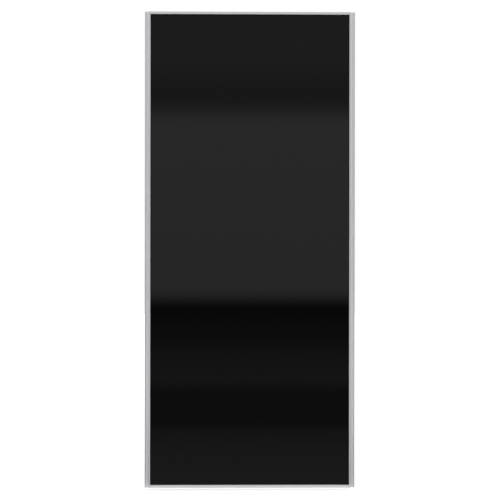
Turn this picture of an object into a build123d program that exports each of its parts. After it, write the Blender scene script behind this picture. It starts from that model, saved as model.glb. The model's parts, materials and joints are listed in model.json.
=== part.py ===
from build123d import *

import math
import os

# One leaf of a sliding wardrobe: lacquered glass in an aluminium frame, with rollers in the
# bottom rail and guides in the top rail. Millimetres. X is the width, the front faces -Y and
# the origin is at the middle of the bottom edge. Rollers and guides are drawn in.

# Door leaf, seen from the front
door_width = 980.0
door_height = 2220.0
stile_face = 26.0
top_rail_face = 12.0
bottom_rail_face = 13.5

# Aluminium extrusions
wall = 1.6
corner_round = 0.8
rail_round = 1.2
rail_setback = 0.5

# Finger groove in the stile: a nose at the outer edge, the groove, then a bead by the glass
nose_width = 2.2
nose_setback = 3.0
nose_round = 0.6
bead_width = 4.2
bead_round = 1.2
bead_bore_radius = 1.1
groove_lift = 0.3
hollow_setback = 7.0

# Glass, its film and its gasket, in a slot that opens towards the middle of the leaf
slot_setback = 9.0
stile_slot_depth = 7.0
glass_thickness = 4.0
glass_arris = 0.4
film_thickness = 0.3
film_inset = 1.0
gasket_front = 1.5
gasket_back = 1.2
gasket_edge = 1.2
gasket_show = 3.5
gasket_round = 0.6

# Gaps: sliding pieces, a piece set in its bay, a shaft in its hole, a seated face
slide_gap = 0.3
fit_gap = 0.2
pin_gap = 0.1
press_gap = 0.03
seat_gap = 0.05

# Corner screws, from inside the stile into round ports in the rail
frame_screw_radius = 2.1
frame_screw_grip = 34.0
frame_screw_head_radius = 3.6
frame_screw_head = 2.6
frame_screw_crown_radius = 2.5
access_radius = 3.8
port_radius = 3.5
port_sink = 0.6

# Countersunk screws that hold the roller housings and the guide brackets
fix_screw_radius = 1.75
fix_screw_length = 11.0
fix_head_radius = 2.8

# Grooved wheel on a ball bearing
wheel_diameter = 28.0
wheel_width = 6.6
wheel_round = 0.4
wheel_rest_gap = 1.0
wheel_side_gap = 0.4
track_groove_radius = 2.2
track_groove_depth = 2.0
axle_radius = 3.0
bearing_radius = 9.5
bearing_width = 6.0
bearing_ring = 1.9
ball_radius = 1.75
ball_count = 7
cage_gap = 0.25
cage_width = 5.2

# Roller carriage: two cheeks with a sloping slot, joined by a block at each end
cheek = 2.4
roller_travel = 12.0
nut_travel = 20.0
slot_margin = 2.0
carriage_drop = 9.0
carriage_rise = 12.0
toe_block_length = 17.0
toe_block_height = 9.0
heel_block_length = 7.5
wheel_end_gap = 1.5
wheel_under_screw = 2.0

# Lift nut and its cross pin on the lift screw, which is turned from the edge of the stile
lift_pin_radius = 2.0
lift_pin_rise = 9.0
nut_length = 12.0
nut_wall = 1.5
nut_web = 1.0
nut_side_gap = 0.2
lift_screw_radius = 3.0
lift_neck_radius = 2.1
lift_head_radius = 4.5
lift_head = 3.0
lift_socket = 4.0
lift_socket_depth = 2.0
driver_hole_radius = 4.0

# Roller housing in the end of the bottom rail
housing_inset = 1.0
housing_foot = 2.0
housing_wall = 1.8
housing_roof = 2.2
bearing_wall = 3.5
head_pocket = 3.6
inner_block = 18.0
toe_screw_inset = 3.5
toe_screw_height = 12.0
heel_screw_inset = 3.5

# Anti-jump catch: a blade that is pushed down beside the track by its thumb tab
catch_travel = 10.0
catch_length = 5.6
catch_width = 7.6
catch_height = 27.0
catch_inset = 7.0
hook_reach = 2.6
hook_height = 3.0
catch_tab_height = 4.0
catch_tab_drop = 3.0

# Top guides: a wheel on an upright pin, on a slide that is pushed up by its thumb tab
guide_inset = 45.0
guide_travel = 12.0
guide_grip = 13.0
guide_top_gap = 0.8
guide_wheel_diameter = 15.0
guide_wheel_height = 8.0
guide_wheel_round = 0.8
guide_pin_radius = 2.0
guide_pin_head_radius = 3.2
guide_pin_head = 0.9
guide_plate = 2.2
guide_plate_length = 22.0
guide_plate_width = 14.0
guide_stem_length = 18.0
guide_stem_width = 10.0
guide_bracket_length = 40.0
guide_screw_spacing = 31.0
guide_tab_length = 9.0
guide_tab_height = 5.0
guide_tab_rise = 4.0
tab_recess = 0.3

# Depths behind the front of the frame, worked out from what has to lie there
glass_front = slot_setback + gasket_front
glass_back = glass_front + glass_thickness
film_back = glass_back + film_thickness
slot_back = film_back + gasket_back
bay_front = slot_back + wall
wheel_gap = wheel_width + 2 * wheel_side_gap
carriage_width = wheel_gap + 2 * cheek
housing_bay = carriage_width + 2 * slide_gap
housing_width = housing_bay + 2 * housing_wall
bay_width = housing_width + 2 * fit_gap
bay_back = bay_front + bay_width
frame_depth = bay_back + wall
front_y = -frame_depth / 2
back_y = frame_depth / 2
track_y = front_y + bay_front + bay_width / 2

# Widths
outer_x = -door_width / 2
inner_x = outer_x + stile_face
rail_length = door_width - 2 * stile_face
glass_edge_x = inner_x - stile_slot_depth + gasket_edge
groove_radius = (stile_face - bead_width - nose_width) / 2
groove_x = outer_x + nose_width + groove_radius
groove_y = front_y - groove_lift

# Heights of the glass
glass_bottom = wall + gasket_edge
glass_top = door_height - wall - gasket_edge

# Outer edges of the gasket, and how far its lips reach in to be flush with the frame
strip_x = glass_edge_x - gasket_edge
strip_bottom = glass_bottom - gasket_edge
strip_top = glass_top + gasket_edge
side_reach = inner_x - strip_x
bottom_reach = bottom_rail_face - strip_bottom
top_reach = strip_top - door_height + top_rail_face

# Bearing radii
ball_circle = (axle_radius + bearing_radius) / 2
ball_track_radius = ball_radius + pin_gap
inner_ring_radius = axle_radius + bearing_ring
outer_ring_bore = bearing_radius - bearing_ring

# Heights in the roller unit
wheel_radius = wheel_diameter / 2
wheel_z = wheel_rest_gap + wheel_radius
lift_pin_z = wheel_z + lift_pin_rise
lift_screw_z = lift_pin_z + lift_pin_radius + nut_web + lift_screw_radius
nut_bottom = lift_pin_z - lift_pin_radius - nut_wall
nut_top = lift_screw_z + lift_screw_radius + nut_wall
carriage_top = lift_pin_z + roller_travel + lift_pin_radius + pin_gap + slot_margin
housing_ceiling = carriage_top + slide_gap
housing_top = housing_ceiling + housing_roof
bottom_box = housing_top + fit_gap + 2 * port_radius - port_sink + wall

# Places along the left roller unit, from the end of the rail inwards
housing_x = inner_x + housing_inset
bearing_wall_x = housing_x + head_pocket
bay_x = bearing_wall_x + bearing_wall
carriage_x = bay_x + slide_gap
nut_x = bay_x + 2 * slide_gap
lift_pin_x = nut_x + nut_length / 2
lift_screw_end_x = nut_x + nut_length + nut_travel + nut_wall
wheel_x = lift_screw_end_x + wheel_radius - wheel_under_screw
heel_x = wheel_x + wheel_radius + wheel_end_gap
carriage_end_x = heel_x + heel_block_length
bay_end_x = carriage_end_x + slide_gap
housing_end_x = bay_end_x + inner_block
catch_x = bay_end_x + catch_inset
slope = roller_travel / nut_travel

# Heights in the top guide, from the top edge down
guide_pin_top = door_height - guide_top_gap
guide_wheel_top = guide_pin_top - guide_pin_head - pin_gap
guide_wheel_bottom = guide_wheel_top - guide_wheel_height
guide_plate_top = guide_wheel_bottom - pin_gap
guide_plate_bottom = guide_plate_top - guide_plate
bracket_top = guide_plate_bottom - seat_gap
bracket_bottom = bracket_top - guide_travel - guide_grip
top_box = door_height - bracket_bottom + fit_gap + 2 * port_radius - port_sink + wall
guide_x = inner_x + guide_inset
guide_tab_bottom = bracket_bottom + guide_tab_rise
catch_bottom = housing_foot + seat_gap
catch_tab_bottom = catch_bottom + catch_height - catch_tab_drop - catch_tab_height
tab_back_y = back_y - tab_recess

# Screw ports, as depth behind the front and as distance from the edge of the leaf
port_depths = (bay_front + access_radius + fit_gap, bay_back - access_radius - fit_gap)
bottom_port_z = bottom_box - wall + port_sink - port_radius
top_port_z = door_height - (top_box - wall + port_sink - port_radius)

# Places of the countersunk screws on the back of the rails, left side
housing_screw_places = (
    (housing_x + toe_screw_inset, back_y, toe_screw_height),
    (housing_end_x - heel_screw_inset, back_y, toe_screw_height),
)
guide_screw_z = (bracket_bottom + bracket_top) / 2
guide_screw_places = (
    (guide_x - guide_screw_spacing / 2, back_y, guide_screw_z),
    (guide_x + guide_screw_spacing / 2, back_y, guide_screw_z),
)

# The upright plane that the roller units lie in, and the wheel's axis
track_plane = Plane((0, track_y, 0), x_dir=(1, 0, 0), z_dir=(0, -1, 0))
hub = (wheel_x, track_y, wheel_z)
hub_plane = Plane(hub, x_dir=(1, 0, 0), z_dir=(0, -1, 0))
wheel_axis = Axis(hub, (0, 1, 0))


def hand_out(piece, name):
    """Write one finished piece."""
    piece.label = name
    export_step(piece, f"parts/{name}.step")


def hand_out_pair(piece, name):
    """Write a left-hand piece and its mirrored right-hand twin."""
    hand_out(piece, f"left_{name}")
    with BuildPart() as twin:
        mirror(piece, about=Plane.YZ)
    hand_out(twin.part, f"right_{name}")


def depth(setback):
    """Y of a plane that lies this far behind the front of the frame."""
    return front_y + setback


def area(x_low, x_high, y_low, y_high, mode=Mode.ADD):
    """A rectangle between four edges of the current sketch."""
    with Locations(((x_low + x_high) / 2, (y_low + y_high) / 2)):
        Rectangle(x_high - x_low, y_high - y_low, mode=mode)


def block(x_low, x_high, y_low, y_high, z_low, z_high, mode=Mode.ADD):
    """A box between six planes."""
    with Locations(((x_low + x_high) / 2, (y_low + y_high) / 2, (z_low + z_high) / 2)):
        Box(x_high - x_low, y_high - y_low, z_high - z_low, mode=mode)


def make_stile():
    """Left upright: finger groove in front, glass slot on the inner side, hollow behind."""
    with BuildPart() as stile:
        with BuildSketch(mode=Mode.PRIVATE) as hollow:
            area(outer_x + wall, inner_x - wall, depth(hollow_setback), back_y - wall)
            with Locations((groove_x, groove_y)):
                Circle(groove_radius + wall, mode=Mode.SUBTRACT)
            area(inner_x - stile_slot_depth - wall, inner_x,
                 front_y, depth(slot_back + wall), Mode.SUBTRACT)
        with BuildSketch() as section:
            area(outer_x, inner_x, front_y, back_y)
            area(outer_x, groove_x, front_y, depth(nose_setback), Mode.SUBTRACT)
            with Locations((groove_x, groove_y)):
                Circle(groove_radius, mode=Mode.SUBTRACT)
            bead_edges = section.vertices().group_by(Axis.Y)[0]
            fillet(bead_edges, bead_round)
            nose_edges = section.vertices().filter_by(lambda v: abs(v.Y - depth(nose_setback)) < seat_gap)
            fillet(nose_edges, nose_round)
            back_edges = section.vertices().group_by(Axis.Y)[-1]
            fillet(back_edges, corner_round)
            area(inner_x - stile_slot_depth, inner_x, depth(slot_setback), depth(slot_back), Mode.SUBTRACT)
            with Locations((inner_x - bead_width / 2, depth(slot_setback / 2))):
                Circle(bead_bore_radius, mode=Mode.SUBTRACT)
            add(hollow.sketch, mode=Mode.SUBTRACT)
        extrude(amount=door_height)
        for port_z in (bottom_port_z, top_port_z):
            for setback in port_depths:
                with Locations(Plane((outer_x, depth(setback), port_z), z_dir=(-1, 0, 0))):
                    CounterBoreHole(frame_screw_radius + fit_gap, access_radius, stile_face - wall, stile_face)
        with Locations(Plane((outer_x, track_y, lift_screw_z), z_dir=(-1, 0, 0))):
            Hole(driver_hole_radius, stile_face)
    return stile.part


def draw_rail(section, edge, inward, face, box):
    """Rail section: front tube, glass slot, then a bay that opens at the leaf's edge."""
    def strip(near_front, near_back, from_edge, to_edge, mode=Mode.ADD):
        heights = sorted((edge + inward * from_edge, edge + inward * to_edge))
        area(depth(near_front), depth(near_back), heights[0], heights[1], mode)

    strip(rail_setback, slot_setback, 0, face)
    fillet(section.vertices().group_by(Axis.X)[0], rail_round)
    strip(rail_setback + wall, slot_setback - wall, wall, face - wall, Mode.SUBTRACT)
    strip(slot_setback - wall, bay_front, 0, wall)
    strip(slot_back, bay_front, 0, box)
    strip(slot_back, frame_depth, box - wall, box)
    strip(bay_back, frame_depth, 0, box)
    for setback in port_depths:
        with Locations((depth(setback), edge + inward * (box - wall + port_sink - port_radius))):
            Circle(port_radius)
            Circle(frame_screw_radius + seat_gap, mode=Mode.SUBTRACT)


def drill_for_screws(places):
    """Countersunk holes through the back of a rail, on both sides of the leaf."""
    for place in places:
        for x in (place[0], -place[0]):
            with Locations(Plane((x, place[1], place[2]), z_dir=(0, 1, 0))):
                CounterSinkHole(fix_screw_radius + pin_gap, fix_head_radius + pin_gap, wall, 90)


def cut_tab_slots(x, length, low, high):
    """Slots for the thumb tabs through the back of a rail, on both sides of the leaf."""
    for middle in (x, -x):
        block(middle - length / 2, middle + length / 2, depth(bay_back) - seat_gap, back_y + seat_gap,
              low, high, Mode.SUBTRACT)


def make_top_rail():
    with BuildPart() as rail:
        with BuildSketch(Plane.YZ.offset(-rail_length / 2)) as section:
            draw_rail(section, door_height, -1, top_rail_face, top_box)
        extrude(amount=rail_length)
        drill_for_screws(guide_screw_places)
        cut_tab_slots(guide_x, guide_tab_length + 2 * fit_gap, guide_tab_bottom - fit_gap,
                      guide_tab_bottom + guide_tab_height + guide_travel + fit_gap)
    return rail.part


def make_bottom_rail():
    with BuildPart() as rail:
        with BuildSketch(Plane.YZ.offset(-rail_length / 2)) as section:
            draw_rail(section, 0, 1, bottom_rail_face, bottom_box)
        extrude(amount=rail_length)
        drill_for_screws(housing_screw_places)
        cut_tab_slots(catch_x, catch_length + 2 * fit_gap, catch_tab_bottom - catch_travel - fit_gap,
                      catch_tab_bottom + catch_tab_height + fit_gap)
    return rail.part


def make_glass():
    with BuildPart() as glass:
        block(glass_edge_x, -glass_edge_x, depth(glass_front), depth(glass_back), glass_bottom, glass_top)
        chamfer(glass.edges(), glass_arris)
    return glass.part


def make_film():
    with BuildPart() as film:
        block(glass_edge_x + film_inset, -glass_edge_x - film_inset, depth(glass_back), depth(film_back),
              glass_bottom + film_inset, glass_top - film_inset)
    return film.part


def make_gasket(corner, far_corner, inward, reach, start_reach, end_reach):
    """U strip along one edge of the glass. The corners are those of its outer edge, and inward
    points to the middle of the leaf. Each end is mitred to the reach of the strip it meets."""
    start = Vector(*corner)
    end = Vector(*far_corner)
    along = (end - start).normalized()
    into = Vector(*inward)
    back_reaches = (reach, start_reach, end_reach)
    layers = (
        (slot_setback, glass_front, [back_reach + gasket_show for back_reach in back_reaches]),
        (glass_front, film_back, [gasket_edge] * len(back_reaches)),
        (film_back, slot_back, back_reaches),
    )
    with BuildPart() as gasket:
        for near, far, (deep, start_cut, end_cut) in layers:
            outline = (start, end, end + into * deep - along * end_cut, start + into * deep + along * start_cut)
            with BuildSketch(Plane((0, depth(near), 0), x_dir=(1, 0, 0), z_dir=(0, -1, 0))):
                with BuildLine():
                    Polyline(*[(point.X, point.Y) for point in outline], close=True)
                make_face()
            extrude(amount=near - far)
        lips = gasket.faces().group_by(Axis.Y)[0].edges().filter_by(Plane.XZ)
        inner_lip = lips.sort_by_distance((0, front_y, door_height / 2))[0]
        fillet(inner_lip, gasket_round)
    return gasket.part


def cut_cross(radius, sunk):
    """Cross recess in a screw's head, as wide as its shank."""
    Box(2 * radius, radius / 2, sunk, mode=Mode.SUBTRACT)
    Box(radius / 2, 2 * radius, sunk, mode=Mode.SUBTRACT)


def make_frame_screws(port_z):
    """Two pan-head screws at one corner, driven from inside the stile."""
    seats = [Plane((inner_x - wall, depth(setback), port_z), z_dir=(-1, 0, 0)) for setback in port_depths]
    rim = frame_screw_head / 2
    with BuildPart(*seats) as screws:
        with Locations((0, 0, -frame_screw_grip / 2)):
            Cylinder(frame_screw_radius, frame_screw_grip)
        with Locations((0, 0, rim / 2)):
            Cylinder(frame_screw_head_radius, rim)
        with Locations((0, 0, rim + rim / 2)):
            Cone(frame_screw_head_radius, frame_screw_crown_radius, rim)
        with Locations((0, 0, rim + rim / 2)):
            cut_cross(frame_screw_radius, rim)
    return screws.part


def make_fixing_screws(places):
    """Countersunk screws through the back of a rail."""
    seats = [Plane((x, y - seat_gap, z), z_dir=(0, 1, 0)) for x, y, z in places]
    taper = fix_head_radius - fix_screw_radius
    with BuildPart(*seats) as screws:
        with Locations((0, 0, -taper / 2)):
            Cone(fix_screw_radius, fix_head_radius, taper)
        with Locations((0, 0, -fix_screw_length / 2)):
            Cylinder(fix_screw_radius, fix_screw_length)
        with Locations((0, 0, -taper / 2)):
            cut_cross(fix_screw_radius, taper)
    return screws.part


def drill_pilots(places, radius, face_y):
    """Blind holes that the fixing screws bite into."""
    for x, y, z in places:
        with Locations(Plane((x, face_y, z), z_dir=(0, 1, 0))):
            Hole(radius, fix_screw_length)


def make_housing():
    """Roller housing: an upturned box with a slotted end that holds the lift screw's neck."""
    half_width = housing_width / 2
    half_bay = housing_bay / 2
    catch_room = catch_length / 2 + fit_gap
    catch_side = catch_width / 2 + fit_gap
    with BuildPart() as housing:
        block(housing_x, housing_end_x, track_y - half_width, track_y + half_width, housing_foot, housing_top)
        block(bay_x, bay_end_x, track_y - half_bay, track_y + half_bay,
              housing_foot, housing_ceiling, Mode.SUBTRACT)
        for start_x, end_x, radius in (
                (housing_x, bearing_wall_x, lift_head_radius + slide_gap),
                (bearing_wall_x, bay_x, lift_neck_radius + pin_gap)):
            with BuildSketch(Plane.YZ.offset(start_x)):
                with Locations((track_y, lift_screw_z)):
                    Circle(radius)
                area(track_y - radius, track_y + radius, lift_screw_z, housing_top)
            extrude(amount=end_x - start_x, mode=Mode.SUBTRACT)
        with BuildSketch(track_plane):
            with Locations((lift_pin_x + nut_travel / 2, lift_pin_z)):
                SlotCenterToCenter(nut_travel, 2 * (lift_pin_radius + pin_gap))
        extrude(amount=half_width, both=True, mode=Mode.SUBTRACT)
        block(catch_x - catch_room, catch_x + catch_room, track_y - catch_side, track_y + catch_side,
              housing_foot, catch_bottom + catch_height + fit_gap, Mode.SUBTRACT)
        block(catch_x - catch_room, catch_x + catch_room, track_y - catch_side - hook_reach, track_y,
              housing_foot, catch_bottom + hook_height + fit_gap, Mode.SUBTRACT)
        block(catch_x - catch_room, catch_x + catch_room, track_y, track_y + half_width,
              catch_tab_bottom - catch_travel - fit_gap, catch_tab_bottom + catch_tab_height + fit_gap,
              Mode.SUBTRACT)
        drill_pilots(housing_screw_places, fix_screw_radius + seat_gap, track_y + half_width)
    return housing.part


def make_carriage():
    """Two cheeks that slide down in the housing, with the sloping slots for the lift pin."""
    slot_run = math.hypot(nut_travel, roller_travel)
    bottom = wheel_z - carriage_drop
    ramp_rise = (lift_pin_radius + pin_gap + slot_margin) * math.hypot(1, slope)
    ramp_foot_z = lift_pin_z + ramp_rise + slope * (carriage_x - lift_pin_x)
    ramp_top_x = carriage_x + (carriage_top - ramp_foot_z) / slope
    shoulder_x = lift_pin_x + nut_travel + lift_pin_radius + pin_gap + 2 * slot_margin
    with BuildPart() as carriage:
        with BuildSketch(track_plane):
            with BuildLine():
                Polyline(
                    (carriage_x, bottom), (carriage_x, ramp_foot_z), (ramp_top_x, carriage_top),
                    (shoulder_x, carriage_top), (shoulder_x, wheel_z + carriage_rise),
                    (carriage_end_x, wheel_z + carriage_rise), (carriage_end_x, bottom), close=True)
            make_face()
            with Locations((lift_pin_x + nut_travel / 2, lift_pin_z + roller_travel / 2)):
                SlotCenterToCenter(slot_run, 2 * (lift_pin_radius + pin_gap),
                                   rotation=math.degrees(math.atan(slope)), mode=Mode.SUBTRACT)
            with Locations((wheel_x, wheel_z)):
                Circle(axle_radius + press_gap, mode=Mode.SUBTRACT)
        extrude(amount=carriage_width / 2, both=True)
        with BuildSketch(track_plane):
            area(carriage_x, heel_x, bottom + toe_block_height, carriage_top)
            area(carriage_x + toe_block_length, heel_x, bottom, bottom + toe_block_height)
        extrude(amount=wheel_gap / 2, both=True, mode=Mode.SUBTRACT)
    return carriage.part


def make_lift_screw():
    """Captive screw: socket head, neck in the housing's slot, then the thread's cylinder."""
    neck = bearing_wall + 2 * seat_gap
    thread = lift_screw_end_x - bay_x - seat_gap
    seat = Plane((bearing_wall_x - seat_gap, track_y, lift_screw_z), z_dir=(-1, 0, 0))
    with BuildPart(seat) as screw:
        with Locations((0, 0, lift_head / 2)):
            Cylinder(lift_head_radius, lift_head)
        with Locations((0, 0, -neck / 2)):
            Cylinder(lift_neck_radius, neck)
        with Locations((0, 0, -neck - thread / 2)):
            Cylinder(lift_screw_radius, thread)
        with BuildSketch(seat.offset(lift_head)):
            RegularPolygon(lift_socket / 2, 6, major_radius=False)
        extrude(amount=-lift_socket_depth, mode=Mode.SUBTRACT)
    return screw.part


def make_lift_nut():
    """Nut block between the cheeks: threaded on the lift screw and crossed by the lift pin."""
    with BuildPart() as nut:
        with BuildSketch(track_plane):
            area(nut_x, nut_x + nut_length, nut_bottom, nut_top)
            with Locations((lift_pin_x, lift_pin_z)):
                Circle(lift_pin_radius + press_gap, mode=Mode.SUBTRACT)
        extrude(amount=wheel_gap / 2 - nut_side_gap, both=True)
        with Locations(Plane((nut_x, track_y, lift_screw_z), z_dir=(-1, 0, 0))):
            Hole(lift_screw_radius + pin_gap, nut_length)
    return nut.part


def make_cross_pin(x, z, radius, length):
    """A plain pin across the roller unit."""
    with BuildPart(Plane((x, track_y, z), z_dir=(0, 1, 0))) as pin:
        Cylinder(radius, length)
    return pin.part


def make_ring(inner, outer, width):
    """A bearing ring about the wheel's axis, with the round groove that the balls run in."""
    with BuildPart() as ring:
        with BuildSketch(Plane(hub)):
            area(inner, outer, -width / 2, width / 2)
            with Locations((ball_circle, 0)):
                Circle(ball_track_radius, mode=Mode.SUBTRACT)
        revolve(axis=wheel_axis)
    return ring.part


def make_wheel():
    """Nylon tyre with the groove that runs on the track."""
    with BuildPart() as tyre:
        with BuildSketch(Plane(hub)) as section:
            area(bearing_radius + press_gap, wheel_radius, -wheel_width / 2, wheel_width / 2)
            fillet(section.vertices().group_by(Axis.X)[-1], wheel_round)
            with Locations((wheel_radius - track_groove_depth + track_groove_radius, 0)):
                Circle(track_groove_radius, mode=Mode.SUBTRACT)
        revolve(axis=wheel_axis)
    return tyre.part


def make_balls():
    with BuildPart(hub_plane) as balls:
        with PolarLocations(ball_circle, ball_count):
            Sphere(ball_radius)
    return balls.part


def make_cage(inner, outer):
    """Ball cage: a short sleeve with a hole drilled through it for each ball."""
    with BuildPart(hub_plane) as cage:
        Cylinder(outer, cage_width)
        Cylinder(inner, cage_width, mode=Mode.SUBTRACT)
        with PolarLocations(ball_circle, ball_count):
            Cylinder(ball_track_radius, outer, rotation=(0, 90, 0), mode=Mode.SUBTRACT)
    return cage.part


def make_catch():
    """Anti-jump blade with a hook at its foot and a thumb tab that reaches through the rail."""
    half_length = catch_length / 2
    half_width = catch_width / 2
    with BuildPart() as catch:
        block(catch_x - half_length, catch_x + half_length, track_y - half_width, track_y + half_width,
              catch_bottom, catch_bottom + catch_height)
        block(catch_x - half_length, catch_x + half_length, track_y - half_width - hook_reach, track_y,
              catch_bottom, catch_bottom + hook_height)
        block(catch_x - half_length, catch_x + half_length, track_y, tab_back_y,
              catch_tab_bottom, catch_tab_bottom + catch_tab_height)
    return catch.part


def make_guide_bracket():
    """Guide bracket in the top rail, with an upright shaft for the slide."""
    half_length = guide_bracket_length / 2
    half_width = housing_width / 2
    half_stem = guide_stem_length / 2 + fit_gap
    half_stem_width = guide_stem_width / 2 + fit_gap
    half_tab = guide_tab_length / 2 + fit_gap
    with BuildPart() as bracket:
        block(guide_x - half_length, guide_x + half_length, track_y - half_width, track_y + half_width,
              bracket_bottom, bracket_top)
        block(guide_x - half_stem, guide_x + half_stem, track_y - half_stem_width, track_y + half_stem_width,
              bracket_bottom, bracket_top, Mode.SUBTRACT)
        block(guide_x - half_tab, guide_x + half_tab, track_y, track_y + half_width,
              guide_tab_bottom - fit_gap, bracket_top, Mode.SUBTRACT)
        drill_pilots(guide_screw_places, fix_screw_radius + seat_gap, track_y + half_width)
    return bracket.part


def make_guide_slide():
    """Slide with a plate for the guide wheel on top and a thumb tab at the back."""
    half_plate = guide_plate_length / 2
    half_plate_width = guide_plate_width / 2
    half_stem = guide_stem_length / 2
    half_stem_width = guide_stem_width / 2
    half_tab = guide_tab_length / 2
    with BuildPart() as slide:
        block(guide_x - half_plate, guide_x + half_plate, track_y - half_plate_width, track_y + half_plate_width,
              guide_plate_bottom, guide_plate_top)
        block(guide_x - half_stem, guide_x + half_stem, track_y - half_stem_width, track_y + half_stem_width,
              bracket_bottom, guide_plate_bottom)
        block(guide_x - half_tab, guide_x + half_tab, track_y, tab_back_y,
              guide_tab_bottom, guide_tab_bottom + guide_tab_height)
        with Locations(Plane((guide_x, track_y, guide_plate_top))):
            Hole(guide_pin_radius + press_gap, guide_plate + guide_grip)
    return slide.part


def make_guide_pin():
    with BuildPart(Plane((guide_x, track_y, guide_pin_top))) as pin:
        with Locations((0, 0, -guide_pin_head / 2)):
            Cylinder(guide_pin_head_radius, guide_pin_head)
        length = guide_pin_top - guide_plate_bottom + guide_grip
        with Locations((0, 0, -length / 2)):
            Cylinder(guide_pin_radius, length)
    return pin.part


def make_guide_wheel():
    with BuildPart(Plane((guide_x, track_y, guide_wheel_bottom))) as roller:
        with Locations((0, 0, guide_wheel_height / 2)):
            Cylinder(guide_wheel_diameter / 2, guide_wheel_height)
        fillet(roller.edges(), guide_wheel_round)
        with Locations((0, 0, guide_wheel_height)):
            Hole(guide_pin_radius + pin_gap, guide_wheel_height)
    return roller.part


os.makedirs("parts", exist_ok=True)

hand_out_pair(make_stile(), "stile")
hand_out(make_top_rail(), "top_rail")
hand_out(make_bottom_rail(), "bottom_rail")
hand_out(make_glass(), "glass_panel")
hand_out(make_film(), "safety_film")

left_gasket = make_gasket((strip_x, strip_bottom), (strip_x, strip_top), (1, 0),
                          side_reach, bottom_reach, top_reach)
hand_out_pair(left_gasket, "gasket")
bottom_gasket = make_gasket((strip_x, strip_bottom), (-strip_x, strip_bottom), (0, 1),
                            bottom_reach, side_reach, side_reach)
hand_out(bottom_gasket, "bottom_gasket")
top_gasket = make_gasket((strip_x, strip_top), (-strip_x, strip_top), (0, -1),
                         top_reach, side_reach, side_reach)
hand_out(top_gasket, "top_gasket")

hand_out_pair(make_frame_screws(bottom_port_z), "bottom_frame_screws")
hand_out_pair(make_frame_screws(top_port_z), "top_frame_screws")

hand_out_pair(make_housing(), "roller_housing")
hand_out_pair(make_fixing_screws(housing_screw_places), "housing_screws")
hand_out_pair(make_lift_screw(), "lift_screw")
hand_out_pair(make_lift_nut(), "lift_nut")
lift_pin = make_cross_pin(lift_pin_x, lift_pin_z, lift_pin_radius, housing_width - 2 * fit_gap)
hand_out_pair(lift_pin, "lift_pin")
hand_out_pair(make_carriage(), "roller_carriage")
axle = make_cross_pin(wheel_x, wheel_z, axle_radius, carriage_width)
hand_out_pair(axle, "axle")
inner_ring = make_ring(axle_radius + press_gap, inner_ring_radius, wheel_gap - 2 * seat_gap)
hand_out_pair(inner_ring, "bearing_inner_ring")
outer_ring = make_ring(outer_ring_bore, bearing_radius, bearing_width)
hand_out_pair(outer_ring, "bearing_outer_ring")
hand_out_pair(make_balls(), "bearing_balls")
hand_out_pair(make_cage(inner_ring_radius + cage_gap, outer_ring_bore - cage_gap), "bearing_cage")
hand_out_pair(make_wheel(), "wheel")
hand_out_pair(make_catch(), "antijump_catch")

hand_out_pair(make_guide_bracket(), "guide_bracket")
hand_out_pair(make_fixing_screws(guide_screw_places), "guide_screws")
hand_out_pair(make_guide_slide(), "guide_slide")
hand_out_pair(make_guide_pin(), "guide_pin")
hand_out_pair(make_guide_wheel(), "guide_wheel")
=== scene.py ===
import json

import bmesh
import bpy
import numpy as np
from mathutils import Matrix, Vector
from mathutils.geometry import tessellate_polygon


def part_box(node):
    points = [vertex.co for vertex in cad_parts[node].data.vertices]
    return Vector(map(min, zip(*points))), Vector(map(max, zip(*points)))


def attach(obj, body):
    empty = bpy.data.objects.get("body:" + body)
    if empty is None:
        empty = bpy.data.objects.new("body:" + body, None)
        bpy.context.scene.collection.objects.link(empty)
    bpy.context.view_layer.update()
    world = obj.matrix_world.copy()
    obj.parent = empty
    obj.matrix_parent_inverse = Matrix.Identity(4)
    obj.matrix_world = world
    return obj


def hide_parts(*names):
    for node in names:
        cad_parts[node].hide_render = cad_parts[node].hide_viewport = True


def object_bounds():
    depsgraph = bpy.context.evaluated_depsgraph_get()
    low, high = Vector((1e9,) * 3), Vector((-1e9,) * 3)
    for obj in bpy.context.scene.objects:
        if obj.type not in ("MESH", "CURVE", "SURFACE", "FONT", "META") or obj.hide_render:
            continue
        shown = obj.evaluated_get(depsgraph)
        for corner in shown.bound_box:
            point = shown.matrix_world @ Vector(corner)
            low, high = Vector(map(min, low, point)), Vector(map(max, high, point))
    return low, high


# Sliding wardrobe door: black glass in a satin aluminium frame, with its rollers and top guides
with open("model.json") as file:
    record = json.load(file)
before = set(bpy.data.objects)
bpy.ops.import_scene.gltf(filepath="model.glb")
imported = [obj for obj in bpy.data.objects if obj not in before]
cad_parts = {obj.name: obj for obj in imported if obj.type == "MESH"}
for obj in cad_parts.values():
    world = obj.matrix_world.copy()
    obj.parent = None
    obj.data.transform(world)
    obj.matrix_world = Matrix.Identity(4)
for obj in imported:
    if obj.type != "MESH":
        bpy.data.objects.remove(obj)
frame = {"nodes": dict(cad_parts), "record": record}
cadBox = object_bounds()
scene = bpy.context.scene
scene.view_settings.view_transform = "Standard"
mm = 0.001
weldGap = 0.002 * mm  # points nearer than this are made one
hair = 0.01  # in mm, less than any real step between two faces
print("frame loaded:", len(frame["nodes"]), "nodes")

# sizes that several pieces share, in mm: the front faces -Y and the left half is at -X
leaf = {"stileFace": 26.0, "wall": 1.6, "slotFront": 9.0, "slotBack": 16.0, "slotDepth": 7.0,
        "screwDepths": (21.6, 30.4), "driverDepth": 26.0, "driverHeight": 30.0,
        "holeSteps": 40, "boreSteps": 24}
leaf["width"], leaf["depth"], leaf["height"] = (round((far - near) / mm, 3) for near, far in zip(*cadBox))
leaf["frontY"] = -leaf["depth"] / 2


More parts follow.
